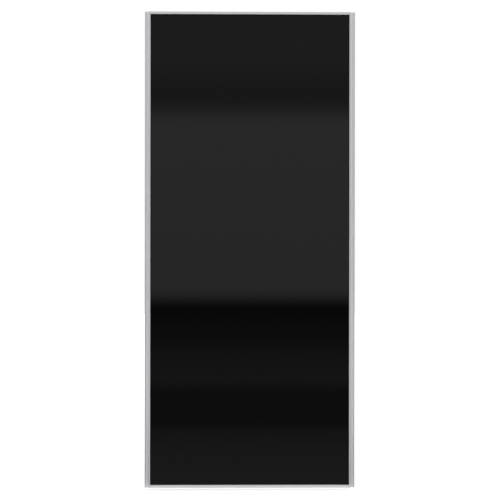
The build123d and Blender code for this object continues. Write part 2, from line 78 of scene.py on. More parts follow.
def linear(hexText):
    # sRGB hex to the linear colour that a shader socket takes
    part = np.array([int(hexText[i:i + 2], 16) for i in (1, 3, 5)]) / 255
    part = np.where(part <= 0.04045, part / 12.92, ((part + 0.055) / 1.055) ** 2.4)
    return (*part.tolist(), 1.0)


def addNode(tree, kind, links=None, values=None, **settings):
    # one node: settings are its own options, values go on its sockets, links name the sockets that feed it
    node = tree.nodes.new(kind)
    for option, value in settings.items():
        setattr(node, option, value)
    for socket, value in (values or {}).items():
        node.inputs[socket].default_value = value
    for socket, source in (links or {}).items():
        tree.links.new(source, node.inputs[socket])
    return node


def newMaterial(name):
    # an empty material and the Object coordinates that its patterns read
    material = bpy.data.materials.new(name)
    material.use_nodes = True
    tree = material.node_tree
    tree.nodes.clear()
    return material, tree, addNode(tree, "ShaderNodeTexCoord").outputs["Object"]


def patternScale(sizeMm):
    # noise repeats about once per unit, so features of this size need this scale in metres
    return 1.0 / (sizeMm * mm)


# One recipe for every finish: patches of noise carry the tint and the roughness between two ends, and finer
# noise is the relief. Both are drawn out along the axis that a die, a saw or a roller worked on. Sizes are in
# mm, and spread is the part of the noise's range that reaches from one end to the other.
noise = {"patchDetail": 3.0, "grainDetail": 2.0, "spread": (0.25, 0.75)}
# aluminium, extruded and satin anodised: an even silver grey with a soft sheen and faint lines along the bar.
# The oxide layer scatters part of the light, so it is not all metal to the eye. The die's lines are about
# 0.3 mm apart; the wide ones are drawn at 4 mm so that they show.
satinAnodised = {"dark": "#cdcdd0", "light": "#d7d7d9", "roughness": (0.46, 0.54), "patchMm": 4.0,
                 "grainMm": 0.3, "grainHeightMm": 0.004, "metallic": 0.8}
finishes = {
    "satinAnodisedUpright": {**satinAnodised, "drawn": (1.0, 1.0, 400.0)},
    "satinAnodisedLevel": {**satinAnodised, "drawn": (400.0, 1.0, 1.0)},
    # aluminium, sawn and left raw: brighter, with the blade's marks across the cut about 0.8 mm apart
    "sawnAluminium": {"dark": "#b0b0b1", "light": "#d6d6d7", "roughness": (0.30, 0.46), "patchMm": 0.8,
                      "grainMm": 0.8, "grainHeightMm": 0.02, "metallic": 1.0, "drawn": (25.0, 1.0, 25.0)},
    # float glass, toughened and lacquered black on its back: a deep black with a hard mirror gloss, a slight
    # haze from wiping and the long shallow waves that the rollers leave
    "blackLacqueredGlass": {"dark": "#060607", "light": "#060607", "roughness": (0.008, 0.035),
                            "patchMm": 90.0, "grainMm": 240.0, "grainHeightMm": 0.03, "grainDetail": 0.0,
                            "metallic": 0.0, "drawn": (2.0, 1.0, 1.0), "sockets": {"IOR": 1.52}},
    # EPDM rubber, extruded: dead black and dull, with a little dust in the pores
    "epdmRubber": {"dark": "#060607", "light": "#0c0c0d", "roughness": (0.66, 0.82), "patchMm": 6.0,
                   "grainMm": 0.25, "grainHeightMm": 0.02, "metallic": 0.0,
                   "sockets": {"Specular IOR Level": 0.09}},
    # zinc plated steel, tumbled: cool bright grey with the cloudy tone of passivation
    "brightZincSteel": {"dark": "#a9abb0", "light": "#c6c8c9", "roughness": (0.24, 0.38), "patchMm": 3.0,
                        "grainMm": 0.2, "grainHeightMm": 0.006, "metallic": 1.0},
    # zinc plated pressed steel: duller, with rolling marks
    "zincPressedSteel": {"dark": "#96989b", "light": "#b5b7b8", "roughness": (0.32, 0.48), "patchMm": 5.0,
                         "grainMm": 0.35, "grainHeightMm": 0.01, "metallic": 1.0},
    # bearing steel, ground and polished: hard bright mirror with hairline grinding
    "groundBearingSteel": {"dark": "#bcbcbc", "light": "#cfcfce", "roughness": (0.10, 0.18), "patchMm": 2.0,
                           "grainMm": 0.12, "grainHeightMm": 0.002, "metallic": 1.0},
    # black glass-filled nylon, moulded: near black with a grey bloom and a spark-eroded grain
    "blackMouldedNylon": {"dark": "#141415", "light": "#212122", "roughness": (0.42, 0.58), "patchMm": 7.0,
                          "grainMm": 0.35, "grainHeightMm": 0.02, "metallic": 0.0},
    # grey nylon, moulded: a plain mid grey with the same grain
    "greyMouldedNylon": {"dark": "#6f7174", "light": "#7c7e81", "roughness": (0.40, 0.54), "patchMm": 6.0,
                         "grainMm": 0.35, "grainHeightMm": 0.015, "metallic": 0.0},
    # natural nylon, moulded smooth: milky ivory white
    "naturalNylon": {"dark": "#d9d7cc", "light": "#e6e4db", "roughness": (0.30, 0.42), "patchMm": 5.0,
                     "grainMm": 0.3, "grainHeightMm": 0.006, "metallic": 0.0},
    # nylon for a bearing cage, moulded: a dull amber
    "amberCageNylon": {"dark": "#a3967a", "light": "#b3a688", "roughness": (0.38, 0.50), "patchMm": 2.5,
                       "grainMm": 0.25, "grainHeightMm": 0.008, "metallic": 0.0},
}
# Polyester safety film with a scrim, rolled on to the lacquer: pale grey and matt, with a grid of threads
# that stand up a little and slow dents between them
film = {"dark": "#909395", "light": "#95999a", "roughness": (0.46, 0.52), "metallic": 0.0, "threadMm": 7.54,
        "threadHeightMm": 0.03, "dentMm": 160.0, "dentDetail": 1.0, "dentHeightMm": 0.07}


def finishShader(tree, recipe, patches, relief):
    # the middle of the noise is spread over the recipe's two roughnesses and two colours, and a finish of one
    # colour has it on the shader's own socket
    share = addNode(tree, "ShaderNodeMapRange", {"Value": patches},
                    {"From Min": noise["spread"][0], "From Max": noise["spread"][1]}).outputs["Result"]
    sheen = addNode(tree, "ShaderNodeMapRange", {"Value": share},
                    {"To Min": recipe["roughness"][0], "To Max": recipe["roughness"][1]}).outputs["Result"]
    feeds = {"Roughness": sheen, "Normal": relief}
    if recipe["light"] != recipe["dark"]:
        # a Mix node's colours have no names of their own: sockets 6 and 7 go in and 2 comes out
        ends = {6: linear(recipe["dark"]), 7: linear(recipe["light"])}
        feeds["Base Color"] = addNode(tree, "ShaderNodeMix", {0: share}, ends, data_type="RGBA").outputs[2]
    shader = addNode(tree, "ShaderNodeBsdfPrincipled", feeds,
                     {"Base Color": linear(recipe["dark"]), "Metallic": recipe["metallic"],
                      **recipe.get("sockets", {})})
    addNode(tree, "ShaderNodeOutputMaterial", {"Surface": shader.outputs["BSDF"]})


def finishFrom(name):
    # patches and grain are noise on the same drawn-out coordinates
    recipe = finishes[name]
    material, tree, place = newMaterial(name)
    squeeze = [1.0 / length for length in recipe.get("drawn", (1.0, 1.0, 1.0))]
    drawn = addNode(tree, "ShaderNodeMapping", {"Vector": place}, {"Scale": squeeze}).outputs["Vector"]
    patchScale, grainScale = patternScale(recipe["patchMm"]), patternScale(recipe["grainMm"])
    patchDetail, grainDetail = noise["patchDetail"], recipe.get("grainDetail", noise["grainDetail"])
    patches = addNode(tree, "ShaderNodeTexNoise", {"Vector": drawn},
                      {"Scale": patchScale, "Detail": patchDetail}).outputs["Fac"]
    grain = addNode(tree, "ShaderNodeTexNoise", {"Vector": drawn},
                    {"Scale": grainScale, "Detail": grainDetail}).outputs["Fac"]
    relief = addNode(tree, "ShaderNodeBump", {"Height": grain},
                     {"Distance": recipe["grainHeightMm"] * mm}).outputs["Normal"]
    finishShader(tree, recipe, patches, relief)
    return material


def safetyFilm():
    # the scrim is the higher of two crossed waves, raised over the dents
    material, tree, place = newMaterial("polyesterSafetyFilm")
    dents = addNode(tree, "ShaderNodeTexNoise", {"Vector": place},
                    {"Scale": patternScale(film["dentMm"]), "Detail": film["dentDetail"]}).outputs["Fac"]
    waveRadians = 20.0  # what a wave texture of scale 1 turns through in each metre
    waveScale = patternScale(film["threadMm"]) * 2 * np.pi / waveRadians
    waves = [addNode(tree, "ShaderNodeTexWave", {"Vector": place}, {"Scale": waveScale},
                     bands_direction=axis).outputs["Fac"] for axis in "XZ"]
    scrim = addNode(tree, "ShaderNodeMath", {0: waves[0], 1: waves[1]}, operation="MAXIMUM").outputs["Value"]
    dented = addNode(tree, "ShaderNodeBump", {"Height": dents},
                     {"Distance": film["dentHeightMm"] * mm}).outputs["Normal"]
    relief = addNode(tree, "ShaderNodeBump", {"Height": scrim, "Normal": dented},
                     {"Distance": film["threadHeightMm"] * mm}).outputs["Normal"]
    finishShader(tree, film, dents, relief)
    return material


uprightAluminium = finishFrom("satinAnodisedUpright")
levelAluminium = finishFrom("satinAnodisedLevel")
cutAluminium = finishFrom("sawnAluminium")
slotFinish = {
    "black_glass": finishFrom("blackLacqueredGlass"),
    "safety_film": safetyFilm(),
    "aluminium": levelAluminium,
    "gasket_rubber": finishFrom("epdmRubber"),
    "screw_steel": finishFrom("brightZincSteel"),
    "plated_steel": finishFrom("zincPressedSteel"),
    "bearing_steel": finishFrom("groundBearingSteel"),
    "black_nylon": finishFrom("blackMouldedNylon"),
    "grey_nylon": finishFrom("greyMouldedNylon"),
    "white_nylon": finishFrom("naturalNylon"),
    "cage_nylon": finishFrom("amberCageNylon"),
}
for subpart in frame["record"]["subparts"]:
    nodeMesh = frame["nodes"][subpart["node"]].data
    nodeMesh.materials.clear()
    nodeMesh.materials.append(slotFinish[subpart["material_slot"]])
print("materials:", len(bpy.data.materials))


def arc(centre, radius, fromDeg, toDeg, steps):
    # points on a circle: centre plus radius times the cosine and sine of an evenly stepped angle
    angle = np.radians(np.linspace(fromDeg, toDeg, steps + 1))
    return np.c_[centre[0] + radius * np.cos(angle), centre[1] + radius * np.sin(angle)]


def ring(centre, radius, steps):
    # a closed circle, without the repeated last point
    return arc(centre, radius, 0.0, 360.0, steps)[:-1]


def rectangle(low, high):
    # the four corners between two opposite ones
    return np.array([low, (high[0], low[1]), high, (low[0], high[1])], float)


def segmentAt(loop, oneEnd, otherEnd):
    # the index of the straight step of a loop that joins these two points, whichever comes first
    after = np.roll(loop, -1, axis=0)
    forward = np.linalg.norm(loop - oneEnd, axis=1) + np.linalg.norm(after - otherEnd, axis=1)
    backward = np.linalg.norm(loop - otherEnd, axis=1) + np.linalg.norm(after - oneEnd, axis=1)
    return int(np.argmin(np.minimum(forward, backward)))


def ruledSheet(nearLoop, farLoop, leaveOut=()):
    # two matching closed loops joined point to point, one quad for each step
    count = len(nearLoop)
    step = np.setdiff1d(np.arange(count), np.array(leaveOut, int))
    after = (step + 1) % count
    return np.vstack([nearLoop, farLoop]), np.c_[step, after, after + count, step + count]


def flatSheet(loops, place, depth):
    # the flat area inside the first loop and outside the others, in triangles, which place sets in space at a
    # depth
    outlines = [list(map(Vector, np.c_[loop, np.zeros(len(loop))].tolist())) for loop in loops]
    return place(np.vstack(loops), depth), np.array(tessellate_polygon(outlines))


def holedWall(sides, holes, cuts, axis, place):
    # a flat wall with holes: sides are the depth and two opposite corners of each face, cuts part both into
    # bands along one axis, and a hole is its rings as (depth, loop) from face to face
    made = []
    for depth, *corners in sides:
        mouths = [next(loop for at, loop in rings if at == depth) for rings in holes]
        for start, end in zip(cuts, cuts[1:]):
            band = np.array(corners, float)
            band[:, axis] = start, end
            inside = [loop for loop in mouths if start < loop[:, axis].mean() < end]
            made.append(flatSheet([rectangle(*band)] + inside, place, depth))
    for rings in holes:
        for (nearDepth, nearLoop), (farDepth, farLoop) in zip(rings, rings[1:]):
            made.append(ruledSheet(place(nearLoop, nearDepth), place(farLoop, farDepth)))
    return made


def putPiece(name, sheets, body, node, materials, endAxis=None, smoothDeg=24.0):
    # sheets in mm become one welded mesh; faces square to endAxis at its ends take the second material
    start = np.cumsum([0] + [len(points) for points, _ in sheets])
    points = np.vstack([points for points, _ in sheets]) * mm
    faces = [face for offset, (_, sheet) in zip(start, sheets) for face in (sheet + offset).tolist()]
    mesh = bpy.data.meshes.new(name)
    mesh.from_pydata(points.tolist(), [], faces)
    work = bmesh.new()
    work.from_mesh(mesh)
    bmesh.ops.remove_doubles(work, verts=work.verts, dist=weldGap)
    bmesh.ops.recalc_face_normals(work, faces=work.faces)
    openEdges = sum(1 for edge in work.edges if not edge.is_manifold)
    work.to_mesh(mesh)
    work.free()
    for material in materials:
        mesh.materials.append(material)
    if endAxis is not None:
        normals = np.zeros(len(mesh.polygons) * 3)
        mesh.polygons.foreach_get("normal", normals)
        centres = np.zeros(len(mesh.polygons) * 3)
        mesh.polygons.foreach_get("center", centres)
        along = centres.reshape(-1, 3)[:, endAxis]
        square = np.abs(normals.reshape(-1, 3)[:, endAxis]) > np.cos(np.radians(smoothDeg))
        nearEnd = along < points[:, endAxis].min() + hair * mm
        farEnd = along > points[:, endAxis].max() - hair * mm
        mesh.polygons.foreach_set("material_index", (square & (nearEnd | farEnd)).astype(np.int32))
    mesh.shade_smooth()
    mesh.set_sharp_from_angle(angle=np.radians(smoothDeg))
    piece = bpy.data.objects.new(name, mesh)
    scene.collection.objects.link(piece)
    level = piece.modifiers.new("flatFacesStayFlat", "WEIGHTED_NORMAL")
    level.keep_sharp = True
    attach(piece, body)
    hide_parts(node)
    print(name, len(mesh.vertices), "points,", openEdges, "open edges")
    return piece


# Rails: v runs backwards from the front and h inwards from the leaf's edge, both in mm. The back wall's screw
# holes and thumb slots are at X and Z on the right half, and again on the left.
rail = {"setback": 0.5, "frontRound": 1.2, "roundSteps": 10, "portRadius": 3.5, "portBore": 2.15,
        "portSink": 0.6, "portSteps": 28, "headRadius": 2.9, "holeRadius": 1.85, "bandHalf": 350.0}
topRail = {"name": "topProfile", "node": "top_rail", "edge": leaf["height"], "inward": -1.0, "face": 12.0,
           "box": 45.35, "screwX": (434.5, 403.5), "screwZ": 2195.35, "slotAt": (419.0, 2195.35),
           "slotHalf": (4.7, 8.7)}
bottomRail = {"name": "bottomProfile", "node": "bottom_rail", "edge": 0.0, "inward": 1.0, "face": 13.5,
              "box": 50.8, "screwX": (459.5, 372.0), "screwZ": 12.0, "slotAt": (379.5, 19.05),
              "slotHalf": (3.0, 7.2)}


def portHeight(bar):
    # the middle of the two screw ports that hang from the bay's floor
    return bar["box"] - leaf["wall"] + rail["portSink"] - rail["portRadius"]


def railOutline(bar):
    # the section's outer loop: front tube, edge strip, web, bay floor with its two screw ports, back wall,
    # then back along the slot to the tube
    wall, deep, steps, turn = leaf["wall"], leaf["depth"], rail["roundSteps"], rail["frontRound"]
    slotFront, slotBack = leaf["slotFront"], leaf["slotBack"]
    face, box, frontV = bar["face"], bar["box"], rail["setback"]
    floorH, portH, portRadius = box - wall, portHeight(bar), rail["portRadius"]
    mouthDeg = np.degrees(np.arccos((floorH - portH) / portRadius))
    ports = [arc((v, portH), portRadius, 90.0 + mouthDeg, 450.0 - mouthDeg, rail["portSteps"])
             for v in leaf["screwDepths"]]
    return np.vstack([
        arc((frontV + turn, turn), turn, 180.0, 270.0, steps),
        [(slotBack + wall, 0.0), (slotBack + wall, floorH)],
        *ports,
        [(deep - wall, floorH), (deep - wall, 0.0), (deep, 0.0), (deep, box),
         (slotBack, box), (slotBack, wall), (slotFront, wall), (slotFront, face)],
        arc((frontV + turn, face - turn), turn, 90.0, 180.0, steps),
    ])


def makeRail(bar):
    # the section carried level from stile to stile, with countersunk holes and thumb slots in its back wall
    wall, face, box = leaf["wall"], bar["face"], bar["box"]
    half = leaf["width"] / 2 - leaf["stileFace"]
    outline = railOutline(bar)
    tube = rectangle((rail["setback"] + wall, wall), (leaf["slotFront"] - wall, face - wall))
    bores = [ring((v, portHeight(bar)), rail["portBore"], leaf["boreSteps"]) for v in leaf["screwDepths"]]

    def level(points, x):
        # the section at one x: v goes back from the front, and h inwards from the leaf's edge
        z = bar["edge"] + bar["inward"] * points[:, 1]
        return np.c_[np.full(len(points), x), leaf["frontY"] + points[:, 0], z]

    def onBack(points, v):
        # points in X and Z, at one depth behind the front
        return np.c_[points[:, 0], np.full(len(points), leaf["frontY"] + v), points[:, 1]]

    outside = leaf["depth"]
    inside = outside - wall
    sinkEnd = outside - (rail["headRadius"] - rail["holeRadius"])
    sink = ((outside, rail["headRadius"]), (sinkEnd, rail["holeRadius"]), (inside, rail["holeRadius"]))
    holes = [[(depth, ring((x, bar["screwZ"]), radius, leaf["holeSteps"])) for depth, radius in sink]
             for place in bar["screwX"] for x in (-place, place)]
    for side in (-1.0, 1.0):
        middle = np.array(bar["slotAt"]) * (side, 1.0)
        mouth = rectangle(middle - bar["slotHalf"], middle + bar["slotHalf"])
        holes.append([(outside, mouth), (inside, mouth)])
    heights = [sorted((bar["edge"], bar["edge"] + bar["inward"] * reach)) for reach in (box, box - wall)]
    sides = [(depth, (-half, low), (half, high)) for depth, (low, high) in zip((outside, inside), heights)]
    skip = [segmentAt(outline, (outside, 0.0), (outside, box)),
            segmentAt(outline, (inside, box - wall), (inside, 0.0))]
    cuts = (-half, -rail["bandHalf"], rail["bandHalf"], half)
    sheets = [flatSheet([outline, tube] + bores, level, x) for x in (-half, half)]
    for start, end in zip(cuts, cuts[1:]):
        sheets.append(ruledSheet(level(outline, start), level(outline, end), skip))
        sheets += [ruledSheet(level(loop, start), level(loop, end)) for loop in [tube] + bores]
    sheets += holedWall(sides, holes, cuts, 0, onBack)
    return putPiece(bar["name"], sheets, "door_leaf", bar["node"],
                    [levelAluminium, cutAluminium], endAxis=0)


# Stile: u runs inwards from the outer edge and v backwards from the front, both in mm
stile = {"grooveCentre": (12.0, -0.3), "grooveRadius": 9.8, "noseSetback": 3.0, "noseRound": 0.6,
         "beadRound": 1.2, "backRound": 0.8, "hollowFront": 7.0, "beadBore": (23.9, 4.5),
         "beadBoreRadius": 1.1, "grooveSteps": 56, "roundSteps": 10, "accessRadius": 3.8, "shankRadius": 2.3,
         "driverRadius": 4.0, "bandEnd": 70.0}


def stileOutline():
    # the section's outer loop: nose, groove arc, bead, glass slot, inner wall, back and outer wall, where
    # each round is an arc tangent to its neighbours
    face, deep, slotU = leaf["stileFace"], leaf["depth"], leaf["stileFace"] - leaf["slotDepth"]
    centre, radius = np.array(stile["grooveCentre"]), stile["grooveRadius"]
    nose, bead, back, steps = stile["noseRound"], stile["beadRound"], stile["backRound"], stile["roundSteps"]
    noseV = stile["noseSetback"] + nose
    noseAt = np.array([centre[0] - np.sqrt((radius + nose) ** 2 - (noseV - centre[1]) ** 2), noseV])
    beadAt = np.array([centre[0] + np.sqrt((radius + bead) ** 2 - (bead - centre[1]) ** 2), bead])
    noseTurn = np.degrees(np.arctan2(*(noseAt - centre)[::-1]))
    beadTurn = np.degrees(np.arctan2(*(beadAt - centre)[::-1]))
    return np.vstack([
        arc((nose, noseV), nose, 180.0, 270.0, steps),
        arc(noseAt, nose, -90.0, noseTurn - 180.0, steps),
        arc(centre, radius, noseTurn, beadTurn, stile["grooveSteps"])[1:-1],
        arc(beadAt, bead, beadTurn - 180.0, -90.0, steps),
        arc((face - bead, bead), bead, -90.0, 0.0, steps),
        [(face, leaf["slotFront"]), (slotU, leaf["slotFront"]), (slotU, leaf["slotBack"]),
         (face, leaf["slotBack"])],
        arc((face - back, deep - back), back, 0.0, 90.0, steps),
        arc((back, deep - back), back, 90.0, 180.0, steps),
    ])


def stileHollow():
    # the inner chamber: a box less the groove's wall and less the slot's wall
    wall, face, deep = leaf["wall"], leaf["stileFace"], leaf["depth"]
    centre, radius = np.array(stile["grooveCentre"]), stile["grooveRadius"] + wall
    slotU = face - leaf["slotDepth"] - wall
    entryU = centre[0] - np.sqrt(radius ** 2 - (stile["hollowFront"] - centre[1]) ** 2)
    exitV = centre[1] + np.sqrt(radius ** 2 - (slotU - centre[0]) ** 2)
    fromDeg = np.degrees(np.arctan2(stile["hollowFront"] - centre[1], entryU - centre[0]))
    toDeg = np.degrees(np.arctan2(exitV - centre[1], slotU - centre[0]))
    return np.vstack([
        [(wall, stile["hollowFront"])],
        arc(centre, radius, fromDeg, toDeg, stile["grooveSteps"] // 2),
        [(slotU, leaf["slotBack"] + wall), (face - wall, leaf["slotBack"] + wall),
         (face - wall, deep - wall), (wall, deep - wall)],
    ])


def makeStile(name, node, side):
    # the section carried straight up from 0 to the leaf's height, with round holes through its two side walls
    face, deep, wall, high = leaf["stileFace"], leaf["depth"], leaf["wall"], leaf["height"]
    slotBack, hollowFront = leaf["slotBack"], stile["hollowFront"]
    outline, hollow = stileOutline(), stileHollow()
    bore = ring(stile["beadBore"], stile["beadBoreRadius"], leaf["boreSteps"])
    noseV = stile["noseSetback"] + stile["noseRound"]
    backV = deep - stile["backRound"]

    def upright(points, z):
        # the section at one height: u goes inwards from the outer edge, and v back from the front
        x = side * (leaf["width"] / 2 - points[:, 0])
        return np.c_[x, leaf["frontY"] + points[:, 1], np.full(len(points), z)]

    def onWall(points, u):
        # points in v and Z, at one depth from the outer edge
        x = np.full(len(points), side * (leaf["width"] / 2 - u))
        return np.c_[x, leaf["frontY"] + points[:, 0], points[:, 1]]

    def through(places, radius, depths):
        # round holes of one radius, each a ring at every depth
        return [[(u, ring(place, radius, leaf["holeSteps"])) for u in depths] for place in places]

    screwHeights = [bar["edge"] + bar["inward"] * portHeight(bar) for bar in (bottomRail, topRail)]
    screwPlaces = [(v, z) for z in screwHeights for v in leaf["screwDepths"]]
    driverPlace = [(leaf["driverDepth"], leaf["driverHeight"])]
    outerSides = [(0.0, (noseV, 0.0), (backV, high)), (wall, (hollowFront, 0.0), (deep - wall, high))]
    innerSides = [(face, (slotBack, 0.0), (backV, high)),
                  (face - wall, (slotBack + wall, 0.0), (deep - wall, high))]
    outerDepths, innerDepths = (0.0, wall), (face, face - wall)
    outerHoles = through(screwPlaces, stile["accessRadius"], outerDepths)
    outerHoles += through(driverPlace, stile["driverRadius"], outerDepths)
    innerHoles = through(screwPlaces, stile["shankRadius"], innerDepths)
    innerHoles += through(driverPlace, stile["driverRadius"], innerDepths)
    skipOutline = [segmentAt(outline, (0.0, backV), (0.0, noseV)),
                   segmentAt(outline, (face, slotBack), (face, backV))]
    skipHollow = [segmentAt(hollow, (wall, deep - wall), (wall, hollowFront)),
                  segmentAt(hollow, (face - wall, slotBack + wall), (face - wall, deep - wall))]
    cuts = (0.0, stile["bandEnd"], high / 2, high - stile["bandEnd"], high)
    sheets = [flatSheet([outline, hollow, bore], upright, z) for z in (0.0, high)]
    for start, end in zip(cuts, cuts[1:]):
        for loop, skip in ((outline, skipOutline), (hollow, skipHollow), (bore, ())):
            sheets.append(ruledSheet(upright(loop, start), upright(loop, end), skip))
    sheets += holedWall(outerSides, outerHoles, cuts, 1, onWall)
    sheets += holedWall(innerSides, innerHoles, cuts, 1, onWall)
    return putPiece(name, sheets, "door_leaf", node, [uprightAluminium, cutAluminium], endAxis=2)


frameBars = [makeStile("leftProfile", "left_stile", -1.0), makeStile("rightProfile", "right_stile", 1.0),
             makeRail(topRail), makeRail(bottomRail)]
print("frame bars made")

# Gasket: r runs inwards from the strip's outer edge and v backwards from the front, both in mm. A bar covers
# the strip as far as cover, and the front lip shows past that.
gasket = {"lip": 3.5, "lipThick": 1.5, "edge": 1.2, "lipRound": 0.6, "lipSteps": 8,
          "cover": {"side": leaf["slotDepth"], "top": topRail["face"] - leaf["wall"],
                    "bottom": bottomRail["face"] - leaf["wall"]}}
gasket["filmBack"] = leaf["slotBack"] - gasket["edge"]
gasket["edgeX"] = leaf["width"] / 2 - leaf["stileFace"] + leaf["slotDepth"]
gasket["edgeLow"] = leaf["wall"]
gasket["edgeHigh"] = leaf["height"] - leaf["wall"]


def gasketSection(where):
    # the U section as a closed loop, with the front lip's edge rounded
    turn, edge, back = gasket["lipRound"], gasket["edge"], gasket["cover"][where]
    reach = back + gasket["lip"]
    glassV, filmV = leaf["slotFront"] + gasket["lipThick"], gasket["filmBack"]
    return np.vstack([
        [(0.0, leaf["slotFront"])],
        arc((reach - turn, leaf["slotFront"] + turn), turn, -90.0, 0.0, gasket["lipSteps"]),
        [(reach, glassV), (edge, glassV), (edge, filmV), (back, filmV), (back, leaf["slotBack"]),
         (0.0, leaf["slotBack"])],
    ])


def mitre(section, where, other):
    # how far an end is cut back at each point of the section, so that two strips of unequal reach meet in one
    # line: the same as its distance inwards on the edge, and in proportion to the two reaches on each lip
    own, met = gasket["cover"][where], gasket["cover"][other]
    onBackLip = section[:, 1] > gasket["filmBack"] - hair
    share = np.where(onBackLip, met / own, (met + gasket["lip"]) / (own + gasket["lip"]))
    share = np.where(section[:, 0] <= gasket["edge"] + hair, 1.0, share)
    return section[:, 0] * share


def putGasket(name, node, section, ends):
    # the strip between two ends, each of them the section's points in space
    sheets = [ruledSheet(*ends)] + [flatSheet([section], lambda points, end: end, end) for end in ends]
    return putPiece(name, sheets, "door_leaf", node, [slotFinish["gasket_rubber"]])


def makeSideGasket(name, node, side):
    # the section carried up one side of the glass, cut back at both ends
    section = gasketSection("side")
    low = gasket["edgeLow"] + mitre(section, "side", "bottom")
    high = gasket["edgeHigh"] - mitre(section, "side", "top")
    x, y = side * (gasket["edgeX"] - section[:, 0]), leaf["frontY"] + section[:, 1]
    return putGasket(name, node, section, [np.c_[x, y, z] for z in (low, high)])


def makeLevelGasket(name, node, where, edge, inward):
    # the section carried along the top or bottom of the glass, cut back at both ends
    section = gasketSection(where)
    reach = gasket["edgeX"] - mitre(section, where, "side")
    y, z = leaf["frontY"] + section[:, 1], edge + inward * section[:, 0]
    return putGasket(name, node, section, [np.c_[x, y, z] for x in (-reach, reach)])


makeSideGasket("leftSeal", "left_gasket", -1.0)
makeSideGasket("rightSeal", "right_gasket", 1.0)
makeLevelGasket("bottomSeal", "bottom_gasket", "bottom", gasket["edgeLow"], 1.0)
makeLevelGasket("topSeal", "top_gasket", "top", gasket["edgeHigh"], -1.0)
print("gaskets made")

# Lift screw: its head is at the stile, then a plain neck, then a right-hand M6 thread, all in mm from the
# head's face. The thread's rootFlat and flank are shares of half a pitch, and the rest of it is the crest.
liftScrew = {"headRadius": 4.5, "headEnd": 3.0, "edge": 0.35, "socket": 4.0, "socketSides": 6,
             "socketDepth": 2.0, "neckRadius": 2.1, "neckEnd": 6.6, "crest": 3.0, "root": 2.45, "pitch": 1.0,
             "rootFlat": 0.12, "flank": 0.7, "leadIn": 0.8, "perTurn": 10, "around": 40, "smoothDeg": 35.0}


def turnedSheet(along, radii, place):
    # rows of circles: each row lies at one distance along the axis, with a radius for each step round it
    rows, count = radii.shape
    angle = np.arange(count) / count * 2 * np.pi
    corner = np.arange(rows * count).reshape(rows, count)
    after = np.roll(corner, -1, axis=1)
    quads = np.stack([corner[:-1], after[:-1], after[1:], corner[1:]], axis=-1).reshape(-1, 4)
    across = np.c_[(radii * np.cos(angle)).ravel(), (radii * np.sin(angle)).ravel()]
    return place(across, np.repeat(along, count)), quads


def makeLiftScrew(name, node, side):
    # the thread's radius goes from root to crest and back once per pitch, a share of a turn later for each
    # step round, and both its ends run out to the root
    screw, count = liftScrew, liftScrew["around"]
    low, high = (corner[0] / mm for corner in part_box(node))
    run = high - low
    headX = low if side < 0 else high
    axisY, axisZ = leaf["frontY"] + leaf["driverDepth"], leaf["driverHeight"]

    def place(across, along):
        # along runs inwards from the head, and one screw is the other turned half round, so that both threads
        # are right-handed
        x = np.broadcast_to(headX - side * along, len(across))
        return np.c_[x, axisY - side * across[:, 0], axisZ + across[:, 1]]

    turns = np.arange(count) / count
    rows = int((run - screw["neckEnd"]) / screw["pitch"] * screw["perTurn"]) + 1
    along = np.linspace(screw["neckEnd"], run, rows)
    phase = (along[:, None] / screw["pitch"] - turns[None, :]) % 1.0
    ridge = np.clip((1.0 - np.abs(2.0 * phase - 1.0) - screw["rootFlat"]) / screw["flank"], 0.0, 1.0)
    fromEnds = np.minimum(along - screw["neckEnd"], run - along)
    ridge *= np.clip(fromEnds / screw["leadIn"], 0.0, 1.0)[:, None]
    thread = screw["root"] + (screw["crest"] - screw["root"]) * ridge
    headSteps = np.array([(0.0, screw["headRadius"] - screw["edge"]), (screw["edge"], screw["headRadius"]),
                          (screw["headEnd"], screw["headRadius"]), (screw["headEnd"], screw["neckRadius"]),
                          (screw["neckEnd"], screw["neckRadius"])])
    headRows = np.repeat(headSteps[:, 1:], count, axis=1)
    face = ring((0.0, 0.0), headSteps[0, 1], count)
    tip = ring((0.0, 0.0), screw["root"], count)
    socketCorner = screw["socket"] / 2 / np.cos(np.pi / screw["socketSides"])
    socket = ring((0.0, 0.0), socketCorner, screw["socketSides"])
    sheets = [turnedSheet(np.r_[headSteps[:, 0], along], np.vstack([headRows, thread]), place),
              flatSheet([face, socket], place, 0.0),
              ruledSheet(place(socket, 0.0), place(socket, screw["socketDepth"])),
              flatSheet([socket], place, screw["socketDepth"]),
              flatSheet([tip], place, run)]
    return putPiece(name, sheets, node, node, [slotFinish["screw_steel"]],
                    smoothDeg=screw["smoothDeg"])


makeLiftScrew("leftLiftScrew", "left_lift_screw", -1.0)
makeLiftScrew("rightLiftScrew", "right_lift_screw", 1.0)
print("lift screws made")

# Bearing balls: on a circle round the axle, in mm, with the first one on the side away from the stile
bearing = {"balls": 7, "radius": 1.75, "circle": 6.25, "around": 32, "rows": 20, "smoothDeg": 60.0}


def makeBalls(name, body, node, side):
    # each ball is rows of circles: at a polar angle from 0 to 180 degrees the circle's radius is the ball's
    # times the sine, and it lies minus the cosine along the axle, so both poles close to a point
    joints = frame["record"]["behaviour"]["joints"]
    hub = next(joint["pos_m"] for joint in joints if joint["child"] == body)
    hubX, hubY, hubZ = (place / mm for place in hub)
    polar = np.linspace(0.0, np.pi, bearing["rows"] + 1)
    along = -bearing["radius"] * np.cos(polar)
    radii = np.repeat(bearing["radius"] * np.sin(polar)[:, None], bearing["around"], axis=1)
    sheets = []
    for turn in np.arange(bearing["balls"]) / bearing["balls"] * 2 * np.pi:
        x = hubX - side * bearing["circle"] * np.cos(turn)
        z = hubZ + bearing["circle"] * np.sin(turn)
        sheets.append(turnedSheet(along, radii, lambda across, along, x=x, z=z: np.c_[
            x + across[:, 0], hubY + along, z + across[:, 1]]))
    return putPiece(name, sheets, body, node, [slotFinish["bearing_steel"]],
                    smoothDeg=bearing["smoothDeg"])


